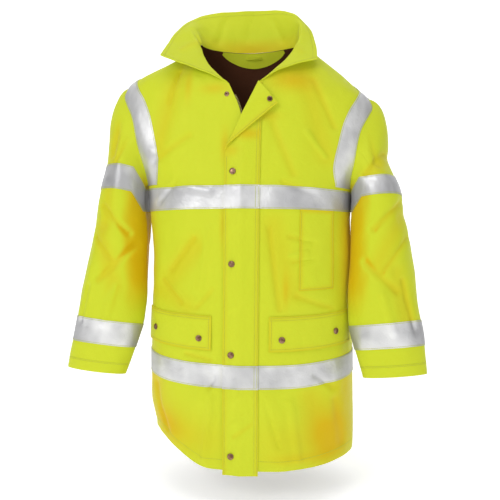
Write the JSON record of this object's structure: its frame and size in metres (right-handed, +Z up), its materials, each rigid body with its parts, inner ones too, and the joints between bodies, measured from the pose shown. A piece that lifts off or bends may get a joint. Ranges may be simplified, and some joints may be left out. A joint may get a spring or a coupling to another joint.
{
  "type": "high-visibility work jacket",
  "caption": "Hip-length yellow hi-vis work jacket with open collar, storm flap, reflective bands, flap pockets and a chest pocket, in its worn shape.",
  "frame": {"origin": "midway between the tops of the two shoulder seams, where the wearer's shoulders carry the jacket", "axes": "+Z up along the wearer's spine, -Y out of the jacket's front, +X to the wearer's left"},
  "size_m": [0.804, 0.3147, 1.0564],
  "materials": {
    "shell_cloth": "fluorescent coated weave",
    "reflective_tape": "retroreflective silver, satin",
    "lining": "matt weave",
    "zip_tape": "woven zip tape",
    "stud_brass": "antique, satin"
  },
  "bodies": {
    "root": {"back_panel": "shell_cloth", "chest_pocket": "shell_cloth", "chest_tape_back": "reflective_tape", "chest_tape_flap": "reflective_tape", "chest_tape_left": "reflective_tape", "chest_tape_right": "reflective_tape", "collar": "shell_cloth", "cuff_tape_left": "reflective_tape", "cuff_tape_right": "reflective_tape", "flap_stud_1": "stud_brass", "flap_stud_2": "stud_brass", "flap_stud_3": "stud_brass", "flap_stud_4": "stud_brass", "flap_stud_corner": "stud_brass", "front_left": "shell_cloth", "front_right": "shell_cloth", "hanger_loop": "shell_cloth", "lining_back": "lining", "neck_facing": "shell_cloth", "neck_stud": "stud_brass", "pocket_flap_left": "shell_cloth", "pocket_flap_right": "shell_cloth", "pocket_stud_left_inner": "stud_brass", "pocket_stud_left_outer": "stud_brass", "pocket_stud_right_inner": "stud_brass", "pocket_stud_right_outer": "stud_brass", "shoulder_tape_left": "reflective_tape", "shoulder_tape_right": "reflective_tape", "sleeve_left": "shell_cloth", "sleeve_right": "shell_cloth", "storm_flap": "shell_cloth", "upper_sleeve_tape_left": "reflective_tape", "upper_sleeve_tape_right": "reflective_tape", "waist_tape_back": "reflective_tape", "waist_tape_flap": "reflective_tape", "waist_tape_left": "reflective_tape", "waist_tape_right": "reflective_tape", "zip_left": "zip_tape", "zip_right": "zip_tape", "zip_slider": "stud_brass"}
  },
  "joints": []
}
